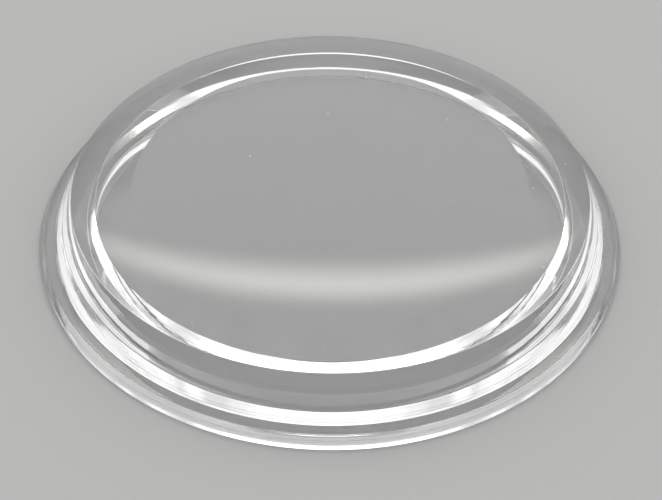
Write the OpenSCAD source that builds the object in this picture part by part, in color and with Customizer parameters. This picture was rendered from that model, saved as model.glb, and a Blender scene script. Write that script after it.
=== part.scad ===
// Watch crystal: one clear moulding with a flange, a leaning wall and a low domed top.
// It is hollow below, so that the hands of the watch turn under it.
// The origin is the centre of the seat face, and +Z points up through the dome.

/* [Flange] */
// Outer diameter of the flange
flange_d = 32; // [31.8:0.1:36]
// Thickness of the flange
flange_t = 0.8; // [0.6:0.05:1]
// Height of the upright edge of the rim
rim_h = 0.35; // [0.2:0.05:0.5]
// Width of the slope that eases the top edge of the rim
rim_slope_w = 0.33; // [0.1:0.01:0.45]
// Chamfer on the bottom edge of the rim
rim_chamfer = 0.05; // [0.02:0.01:0.15]

/* [Wall] */
// Diameter where the wall stands on the flange
wall_base_d = 30.3; // [29.6:0.1:30.6]
// Diameter of the top edge of the wall
wall_top_d = 28; // [27.6:0.1:28.6]
// Height of the top edge of the wall
wall_top_h = 3.25; // [3.1:0.05:3.6]

/* [Top] */
// Width of the bevel between the wall and the dome
bevel_w = 0.5; // [0.1:0.05:0.6]
// Height of the bevel between the wall and the dome
bevel_h = 0.05; // [0.05:0.05:0.4]
// Rise of the dome above the bevel
dome_rise = 0.55; // [0.3:0.05:0.8]

/* [Hollow] */
// Diameter of the hollow at its mouth
mouth_d = 26.3; // [26.1:0.1:27]
// Height of the flare at the mouth
flare_h = 1; // [0.3:0.1:1.2]
// Diameter of the hollow above the flare
throat_d = 26; // [25.6:0.1:26.1]
// Diameter of the hollow at its top
hollow_top_d = 25.4; // [25:0.1:25.6]
// Height of the top of the hollow's wall
hollow_top_h = 2.25; // [2:0.05:2.4]
// Diameter of the ceiling, inside its sloping border
ceiling_d = 21.6; // [20:0.1:22.6]
// Height of the ceiling at its sloping border
ceiling_h = 2.7; // [2.5:0.05:2.8]
// Rise of the ceiling from the border to the centre
ceiling_rise = 0.1; // [0:0.05:0.15]

/* [Hidden] */
dome_steps = 12;
ceiling_steps = 6;
flange_r = flange_d / 2;
dome_r = wall_top_d / 2 - bevel_w;
dome_edge_h = wall_top_h + bevel_h;
ceiling_r = ceiling_d / 2;

// Height of a shallow cap above its edge, at the share s of its radius
function cap_z(s, rise) = rise * (1 - s * s);

// Outline of a shallow cap, from the axis to its edge
function cap_points(edge_r, edge_h, rise, steps) = [
    for (i = [0:steps])
        let (s = i / steps)
        [edge_r * s, edge_h + cap_z(s, rise)]
];

function reversed(points) = [for (i = [len(points) - 1:-1:0]) points[i]];

// Half section of the clear body, from the hollow round to the dome
function crystal_section() = concat(
    cap_points(ceiling_r, ceiling_h, ceiling_rise, ceiling_steps),
    [
        [hollow_top_d / 2, hollow_top_h],
        [throat_d / 2, flare_h],
        [mouth_d / 2, 0],
        [flange_r - rim_chamfer, 0],
        [flange_r, rim_chamfer],
        [flange_r, rim_h],
        [flange_r - rim_slope_w, flange_t],
        [wall_base_d / 2, flange_t],
        [wall_top_d / 2, wall_top_h]
    ],
    reversed(cap_points(dome_r, dome_edge_h, dome_rise, dome_steps))
);

// The whole crystal, turned from its half section
module crystal() {
    color([0.86, 0.9, 0.91, 0.35])
        rotate_extrude($fn = 360)
            polygon(crystal_section());
}

crystal();
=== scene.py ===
"""Looks of the watch crystal: one clear acrylic moulding on a pale floor, in a white light tent."""
import math

import bpy
from mathutils import Matrix, Vector


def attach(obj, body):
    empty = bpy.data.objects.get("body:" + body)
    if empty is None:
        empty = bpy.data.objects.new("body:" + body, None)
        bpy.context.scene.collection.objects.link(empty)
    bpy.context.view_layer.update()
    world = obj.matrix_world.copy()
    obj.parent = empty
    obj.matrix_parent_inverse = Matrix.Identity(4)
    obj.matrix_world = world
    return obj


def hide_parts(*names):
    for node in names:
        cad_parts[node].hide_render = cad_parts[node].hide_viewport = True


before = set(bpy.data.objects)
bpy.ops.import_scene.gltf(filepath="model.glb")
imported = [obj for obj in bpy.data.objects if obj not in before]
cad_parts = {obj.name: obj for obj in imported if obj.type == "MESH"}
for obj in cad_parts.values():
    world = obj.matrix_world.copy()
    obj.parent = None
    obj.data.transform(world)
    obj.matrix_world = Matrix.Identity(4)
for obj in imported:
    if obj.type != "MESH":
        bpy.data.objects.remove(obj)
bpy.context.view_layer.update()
MM = 0.001

# The crystal's outline, as part.scad has it, in millimetres
FLANGE_R = 16.0
FLANGE_T = 0.8
RIM_H = 0.35
RIM_SLOPE_W = 0.33
RIM_CHAMFER = 0.05
WALL_BASE_R = 15.15
WALL_TOP_R = 14.0
WALL_TOP_H = 3.25
BEVEL_W = 0.5
BEVEL_H = 0.05
DOME_RISE = 0.55
MOUTH_R = 13.15
FLARE_H = 1.0
THROAT_R = 13.0
HOLLOW_TOP_R = 12.7
HOLLOW_TOP_H = 2.25
CEILING_R = 10.8
CEILING_H = 2.7
CEILING_RISE = 0.1

# Finish of the edges, and fineness of the mesh. SMOOTH marks a point of a curve, which has no
# corner, and what is nearer to the axis than AXIS_R, in metres, lies on it
EDGE_R = 0.04
FINE_EDGE_R = 0.02
SEGMENTS = 720
CURVE_STEPS = 32
DEGREES_PER_STEP = 9
SMOOTH = None
AXIS_R = 1e-7

# The acrylic's surface, in millimetres and shares
ACRYLIC_TINT = (0.985, 0.992, 0.99, 1)
ACRYLIC_IOR = 1.49
POLISH_DEPTH = 0.1
RING_PITCH = 0.1
RING_DEPTH = 0.0005
# Painted shade streaks round the foot of the wall: their grey, pitch, edges, radii and heights
PAINTED_STREAK_TINT = (0.45, 0.45, 0.45, 1)
PAINTED_STREAK_PITCH = 0.07
PAINTED_STREAK_EDGE = (0.48, 0.7)
PAINTED_STREAK_RADII = (WALL_TOP_R + 0.2, WALL_TOP_R + 0.4)
PAINTED_STREAK_HEIGHTS = (1.7, 1.5)
HAIRLINE_TURNS = (25, 112)
HAIRLINE_STRETCH = 14
HAIRLINE_SCALE = 130
HAIRLINE_WIDTH = 0.006
HAIRLINE_ROUGHNESS = 0.12
PATCH_SCALE = 220
PATCH_EDGE = (0.5, 0.7)
DUST_TINT = (0.9, 0.9, 0.88, 1)
DUST_PITCH = 2.2
DUST_SIZE = 0.08
DUST_SHARE = 0.12
DUST_ROUGHNESS = 0.6

# The floor: its side in metres, its grey, and its gap below the flange in millimetres
FLOOR_SIZE = 4
FLOOR_TINT = (0.4, 0.4, 0.396, 1)
FLOOR_ROUGHNESS = 0.75
FLOOR_GAP = 0.02

# The tent, by direction. A stop is (sine of the elevation, radiance). The folds and the front
# light grow from none to all between the two values of Z or Y given for them
TENT_STOPS = ((0.0, 0.28), (0.2, 0.32), (0.42, 1.1), (1.0, 1.2))
FOLD_SCALE = 28
FOLD_NOISE = (0.35, 0.6)
FOLD_LEVELS = (0.7, 1.05)
FOLD_FOOT = (0.25, 0.4)
FOLD_BACK = (0.45, 0.2)
FRONT_GAIN = 0.8
FRONT_EDGE = (-0.35, -0.65)

# The lamp in the tent's roof: (distance behind, half width, half depth) of its two ellipses, and
# where it fades at the edge of each, in half axes
LAMP_OUTER = (1.83, 0.643, 1.0)
LAMP_INNER = (1.98, 0.74, 1.03)
LAMP_OUTER_EDGE = (1.06, 0.98)
LAMP_INNER_EDGE = (1.02, 1.12)
LAMP_RADIANCE = 6.0
LAMP_TINT = (1.0, 1.0, 0.9)
ROOF_FOOT = 0.05

# Bounces of light that the clear body needs
BOUNCES = 24

# The camera, in millimetres and degrees, and what it sees, from and to, in metres
LENS = 77.8
SENSOR_WIDTH = 36
CAMERA_PLACE = (0, -59.6, 53.3)
CAMERA_TARGET = (0.07, -1.9, 0)
CAMERA_ROLL = 0.77
CAMERA_CLIP = (0.001, 10)


# ---------------------------------------------------------------- geometry
def cap(edge_r, edge_h, rise):
    """Smooth outline of a shallow cap, from the axis to just inside its edge."""
    points = []
    for i in range(CURVE_STEPS):
        share = i / CURVE_STEPS
        points.append((edge_r * share, edge_h + rise * (1 - share ** 2), SMOOTH))
    return points


def outward(along):
    """Unit normal on the right of a direction in the (r, z) half plane, where the air is."""
    return Vector((along.y, -along.x)).normalized()


def rounded(corners):
    """Outline through corners of (r, z, radius), where each corner becomes a small arc.

    A corner with the radius SMOOTH is a point of a curve, and stays as it is. The outline is a
    list of points with their normals, and the solid is on the left of the path.
    """
    places = [Vector((r, z)) for r, z, radius in corners]
    outline = [(places[0], outward(places[1] - places[0]))]
    for before, here, after, corner in zip(places, places[1:], places[2:], corners[1:]):
        radius = corner[2]
        normal_in = outward(here - before)
        normal_out = outward(after - here)
        if radius is SMOOTH:
            outline.append((here, (normal_in + normal_out).normalized()))
            continue
        turn = math.atan2(normal_in.cross(normal_out), normal_in.dot(normal_out))
        side = math.copysign(radius, turn)
        start = here - (here - before).normalized() * abs(side * math.tan(turn / 2))
        centre = start - normal_in * side
        steps = max(1, math.ceil(abs(math.degrees(turn)) / DEGREES_PER_STEP))
        for k in range(steps + 1):
            normal = Matrix.Rotation(turn * k / steps, 2) @ normal_in
            outline.append((centre + normal * side, normal))
    outline.append((places[-1], outward(places[-1] - places[-2])))
    return outline


def crystal_outline():
    """Half section of the crystal, from the ceiling's centre round the rim to the dome's centre."""
    dome_r = WALL_TOP_R - BEVEL_W
    dome_edge_h = WALL_TOP_H + BEVEL_H
    ceiling = cap(CEILING_R, CEILING_H, CEILING_RISE)
    dome = cap(dome_r, dome_edge_h, DOME_RISE)
    dome.reverse()
    edges = [
        (CEILING_R, CEILING_H, EDGE_R),
        (HOLLOW_TOP_R, HOLLOW_TOP_H, EDGE_R),
        (THROAT_R, FLARE_H, EDGE_R),
        (MOUTH_R, 0, EDGE_R),
        (FLANGE_R - RIM_CHAMFER, 0, FINE_EDGE_R),
        (FLANGE_R, RIM_CHAMFER, FINE_EDGE_R),
        (FLANGE_R, RIM_H, FINE_EDGE_R),
        (FLANGE_R - RIM_SLOPE_W, FLANGE_T, EDGE_R),
        (WALL_BASE_R, FLANGE_T, EDGE_R),
        (WALL_TOP_R, WALL_TOP_H, EDGE_R),
        (dome_r, dome_edge_h, EDGE_R),
    ]
    return rounded(ceiling + edges + dome)


def turned(name, outline):
    """Mesh turned about the Z axis from an outline that starts and ends on the axis."""
    vertices = []
    normals = []
    rings = []
    for point, normal in outline:
        r, z = point * MM
        if r < AXIS_R:
            rings.append([len(vertices)])
            vertices.append((0, 0, z))
            normals.append((0, 0, math.copysign(1, normal.y)))
            continue
        rings.append(range(len(vertices), len(vertices) + SEGMENTS))
        for i in range(SEGMENTS):
            a = 2 * math.pi * i / SEGMENTS
            vertices.append((r * math.cos(a), r * math.sin(a), z))
            normals.append((normal.x * math.cos(a), normal.x * math.sin(a), normal.y))
    faces = []
    for low, high in zip(rings, rings[1:]):
        for i in range(SEGMENTS):
            j = (i + 1) % SEGMENTS
            if len(low) == 1:
                faces.append((low[0], high[j], high[i]))
            elif len(high) == 1:
                faces.append((low[i], low[j], high[0]))
            else:
                faces.append((low[i], low[j], high[j], high[i]))
    mesh = bpy.data.meshes.new(name)
    mesh.from_pydata(vertices, [], faces)
    mesh.shade_smooth()
    mesh.normals_split_custom_set_from_vertices(normals)
    piece = bpy.data.objects.new(name, mesh)
    bpy.context.collection.objects.link(piece)
    return piece


# ---------------------------------------------------------------- materials
def new_material(name):
    """New node material, and its surface shader."""
    material = bpy.data.materials.new(name)
    material.use_nodes = True
    return material, material.node_tree.nodes["Principled BSDF"]


def math_node(nodes, links, operation, first, second=None):
    """Maths node on outputs or plain numbers; gives its output."""
    node = nodes.new("ShaderNodeMath")
    node.operation = operation
    for socket, value in zip(node.inputs, (first, second)):
        if isinstance(value, bpy.types.NodeSocket):
            links.new(value, socket)
        elif value is not None:
            socket.default_value = value
    return node.outputs[0]


def smooth_step(nodes, links, value, low, high):
    """0 below low, 1 above high and smooth between; falls instead where low is over high."""
    node = nodes.new("ShaderNodeMapRange")
    node.interpolation_type = "SMOOTHSTEP"
    node.inputs["From Min"].default_value = low
    node.inputs["From Max"].default_value = high
    links.new(value, node.inputs["Value"])
    return node.outputs["Result"]


def noise(nodes, links, vector, scale, detail, dimensions="3D"):
    """Noise texture on a vector, or on a single value where it has one dimension."""
    node = nodes.new("ShaderNodeTexNoise")
    node.noise_dimensions = dimensions
    node.inputs["Scale"].default_value = scale
    node.inputs["Detail"].default_value = detail
    links.new(vector, node.inputs["W" if dimensions == "1D" else "Vector"])
    return node.outputs["Fac"]


def mixed(nodes, links, share, first, second):
    """Mix of a first and a second colour, by the share of the second; gives its output."""
    node = nodes.new("ShaderNodeMix")
    node.data_type = "RGBA"
    links.new(share, node.inputs["Factor"])
    for socket, colour in zip((node.inputs[6], node.inputs[7]), (first, second)):
        if isinstance(colour, bpy.types.NodeSocket):
            links.new(colour, socket)
        else:
            socket.default_value = colour
    return node.outputs[2]


def product(nodes, links, *factors):
    """Product of three or more outputs or plain numbers."""
    result = factors[0]
    for factor in factors[1:]:
        result = math_node(nodes, links, "MULTIPLY", result, factor)
    return result


def acrylic():
    """Clear acrylic, with turning marks round the wall, painted shade streaks round its foot, and
    hairlines and dust on the top.
    """
    material, shader = new_material("clear_acrylic")
    nodes = material.node_tree.nodes
    links = material.node_tree.links
    shader.inputs["Transmission Weight"].default_value = 1
    shader.inputs["IOR"].default_value = ACRYLIC_IOR

    place = nodes.new("ShaderNodeTexCoord").outputs["Object"]
    flat = nodes.new("ShaderNodeVectorMath")
    flat.operation = "MULTIPLY"
    flat.inputs[1].default_value = (1, 1, 0)
    links.new(place, flat.inputs[0])
    length = nodes.new("ShaderNodeVectorMath")
    length.operation = "LENGTH"
    links.new(flat.outputs[0], length.inputs[0])
    radius = length.outputs["Value"]
    parts = nodes.new("ShaderNodeSeparateXYZ")
    links.new(place, parts.inputs[0])
    height = parts.outputs["Z"]

    # Rings left by the lathe or the mould, on what isn't polished
    along = math_node(nodes, links, "ADD", radius, height)
    rings = noise(nodes, links, along, 1 / (RING_PITCH * MM), 2, "1D")
    outside = smooth_step(nodes, links, radius, HOLLOW_TOP_R * MM, THROAT_R * MM)
    below = smooth_step(nodes, links, height, WALL_TOP_H * MM, (WALL_TOP_H - POLISH_DEPTH) * MM)
    unpolished = math_node(nodes, links, "MULTIPLY", outside, below)
    rings = math_node(nodes, links, "MULTIPLY", rings, unpolished)

    # Painted shade: finer, darker streaks round the foot of the wall, standing in for the dark
    # streaks in the bright band of reflected light there
    fine = noise(nodes, links, height, 1 / (PAINTED_STREAK_PITCH * MM), 1, "1D")
    lines = smooth_step(nodes, links, fine, *PAINTED_STREAK_EDGE)
    on_wall = smooth_step(nodes, links, radius, *(edge * MM for edge in PAINTED_STREAK_RADII))
    foot = smooth_step(nodes, links, height, *(edge * MM for edge in PAINTED_STREAK_HEIGHTS))
    painted_streaks = product(nodes, links, lines, on_wall, foot)

    # Hairlines on the polished top, where two long drawn-out noises pass through their middle value
    hairlines = []
    for turn in HAIRLINE_TURNS:
        drawn = nodes.new("ShaderNodeMapping")
        drawn.inputs["Rotation"].default_value = (0, 0, math.radians(turn))
        drawn.inputs["Scale"].default_value = (1, HAIRLINE_STRETCH, 1)
        links.new(flat.outputs[0], drawn.inputs["Vector"])
        level = noise(nodes, links, drawn.outputs[0], HAIRLINE_SCALE, 0)
        offset = math_node(nodes, links, "SUBTRACT", level, 0.5)
        distance = math_node(nodes, links, "ABSOLUTE", offset)
        hairlines.append(smooth_step(nodes, links, distance, HAIRLINE_WIDTH, 0))
    hairline = math_node(nodes, links, "MAXIMUM", *hairlines)
    patches = smooth_step(nodes, links, noise(nodes, links, place, PATCH_SCALE, 2), *PATCH_EDGE)
    polished = math_node(nodes, links, "SUBTRACT", 1, unpolished)
    hairline = product(nodes, links, hairline, patches, polished)

    # Specks of dust in a few cells
    cells = nodes.new("ShaderNodeTexVoronoi")
    cells.voronoi_dimensions = "2D"
    cells.inputs["Scale"].default_value = 1 / (DUST_PITCH * MM)
    links.new(place, cells.inputs["Vector"])
    chance = nodes.new("ShaderNodeSeparateColor")
    links.new(cells.outputs["Color"], chance.inputs[0])
    size = DUST_SIZE / DUST_PITCH
    near = smooth_step(nodes, links, cells.outputs["Distance"], size, size / 2)
    chosen = math_node(nodes, links, "GREATER_THAN", chance.outputs["Red"], 1 - DUST_SHARE)
    above = math_node(nodes, links, "GREATER_THAN", height, WALL_TOP_H * MM)
    dust = product(nodes, links, near, chosen, above)

    marks = math_node(nodes, links, "MULTIPLY", hairline, HAIRLINE_ROUGHNESS)
    specks = math_node(nodes, links, "MULTIPLY", dust, DUST_ROUGHNESS)
    links.new(math_node(nodes, links, "MAXIMUM", marks, specks), shader.inputs["Roughness"])
    tint = mixed(nodes, links, dust, ACRYLIC_TINT, DUST_TINT)
    # The painted shade streaks darken the tint round the foot of the wall
    links.new(mixed(nodes, links, painted_streaks, tint, PAINTED_STREAK_TINT), shader.inputs["Base Color"])
    bump = nodes.new("ShaderNodeBump")
    bump.inputs["Distance"].default_value = RING_DEPTH * MM
    links.new(rings, bump.inputs["Height"])
    links.new(bump.outputs[0], shader.inputs["Normal"])
    return material


def floor_material():
    """Matt pale board."""
    material, shader = new_material("pale_board")
    shader.inputs["Base Color"].default_value = FLOOR_TINT
    shader.inputs["Roughness"].default_value = FLOOR_ROUGHNESS
    return material


# ---------------------------------------------------------------- the stage
def add_floor():
    """Pale floor, a hair below the flange so that the two faces don't meet."""
    bpy.ops.mesh.primitive_plane_add(size=FLOOR_SIZE, location=(0, 0, -FLOOR_GAP * MM))
    floor = bpy.context.object
    floor.name = "floor"
    floor.data.materials.append(floor_material())


def look_at(camera, target, roll):
    """Turns the camera towards a point, then rolls it by degrees."""
    turn = (target - camera.location).to_track_quat("-Z", "Y").to_matrix()
    camera.rotation_euler = (turn @ Matrix.Rotation(math.radians(roll), 3, "Z")).to_euler()


def ramp_of(nodes, stops):
    """Colour ramp node through (position, brightness) stops."""
    ramp = nodes.new("ShaderNodeValToRGB")
    ramp.color_ramp.interpolation = "EASE"
    elements = ramp.color_ramp.elements
    while len(elements) < len(stops):
        elements.new(0.5)
    for element, (position, brightness) in zip(elements, stops):
        element.position = position
        element.color = (brightness, brightness, brightness, 1)
    return ramp


def ellipse(nodes, links, place, size):
    """Distance from an ellipse's middle, in half axes, for a place in the tent's roof."""
    back, half_width, half_depth = size
    scaled = nodes.new("ShaderNodeVectorMath")
    scaled.operation = "DIVIDE"
    scaled.inputs[1].default_value = (half_width, half_depth, 1)
    links.new(place, scaled.inputs[0])
    distance = nodes.new("ShaderNodeVectorMath")
    distance.operation = "DISTANCE"
    distance.inputs[1].default_value = (0, back / half_depth, 0)
    links.new(scaled.outputs[0], distance.inputs[0])
    return distance.outputs["Value"]


def add_tent():
    """White light tent: dim near the floor, bright above and brightest in front, with a back lamp.

    The lamp lies flat in the tent's roof, which is at a height of 1 above the crystal. It is the
    crescent that one ellipse leaves free of another, widest in the middle and thin at its ends.
    """
    world = bpy.data.worlds.new("tent")
    world.use_nodes = True
    nodes = world.node_tree.nodes
    links = world.node_tree.links
    direction = nodes.new("ShaderNodeTexCoord").outputs["Generated"]
    parts = nodes.new("ShaderNodeSeparateXYZ")
    links.new(direction, parts.inputs[0])
    tent = ramp_of(nodes, TENT_STOPS)
    links.new(parts.outputs["Z"], tent.inputs[0])

    # Level folds in the cloth, except near the floor and at the back
    folds = nodes.new("ShaderNodeMapRange")
    for end, level, value in zip(("Min", "Max"), FOLD_LEVELS, FOLD_NOISE):
        folds.inputs["To " + end].default_value = level
        folds.inputs["From " + end].default_value = value
    links.new(noise(nodes, links, parts.outputs["Z"], FOLD_SCALE, 2, "1D"), folds.inputs["Value"])
    raised = smooth_step(nodes, links, parts.outputs["Z"], *FOLD_FOOT)
    ahead = smooth_step(nodes, links, parts.outputs["Y"], *FOLD_BACK)
    folded = math_node(nodes, links, "MULTIPLY", raised, ahead)
    deep = math_node(nodes, links, "SUBTRACT", folds.outputs["Result"], 1)
    fold = math_node(nodes, links, "ADD", math_node(nodes, links, "MULTIPLY", deep, folded), 1)

    # More light from the front
    front = smooth_step(nodes, links, parts.outputs["Y"], *FRONT_EDGE)
    gain = math_node(nodes, links, "ADD", math_node(nodes, links, "MULTIPLY", front, FRONT_GAIN), 1)
    cloth = product(nodes, links, tent.outputs[0], fold, gain)

    # The lamp, added to the cloth
    height = math_node(nodes, links, "MAXIMUM", parts.outputs["Z"], ROOF_FOOT)
    roof = nodes.new("ShaderNodeCombineXYZ")
    for axis in ("X", "Y"):
        links.new(math_node(nodes, links, "DIVIDE", parts.outputs[axis], height), roof.inputs[axis])
    outer = ellipse(nodes, links, roof.outputs[0], LAMP_OUTER)
    inner = ellipse(nodes, links, roof.outputs[0], LAMP_INNER)
    within = smooth_step(nodes, links, outer, *LAMP_OUTER_EDGE)
    free = smooth_step(nodes, links, inner, *LAMP_INNER_EDGE)
    lamp = product(nodes, links, within, free, LAMP_RADIANCE)
    both = nodes.new("ShaderNodeVectorMath")
    both.operation = "MULTIPLY_ADD"
    both.inputs[1].default_value = LAMP_TINT
    links.new(lamp, both.inputs[0])
    links.new(cloth, both.inputs[2])
    links.new(both.outputs[0], nodes["Background"].inputs["Color"])
    bpy.context.scene.world = world


def set_colours_and_bounces():
    """Plain colours, and enough bounces for clear acrylic."""
    scene = bpy.context.scene
    scene.view_settings.view_transform = "Standard"
    for kind in ("max_bounces", "glossy_bounces", "transmission_bounces"):
        setattr(scene.cycles, kind, BOUNCES)


def add_camera():
    """Close view from the front, about 42 degrees up."""
    data = bpy.data.cameras.new("camera")
    data.lens = LENS
    data.sensor_width = SENSOR_WIDTH
    data.clip_start, data.clip_end = CAMERA_CLIP
    camera = bpy.data.objects.new("camera", data)
    camera.location = Vector(CAMERA_PLACE) * MM
    bpy.context.collection.objects.link(camera)
    look_at(camera, Vector(CAMERA_TARGET) * MM, CAMERA_ROLL)
    bpy.context.scene.camera = camera


# ---------------------------------------------------------------- build
crystal = turned("clear_crystal", crystal_outline())
crystal.data.materials.append(acrylic())
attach(crystal, "root")
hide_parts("crystal")

add_floor()
add_tent()
set_colours_and_bounces()
add_camera()
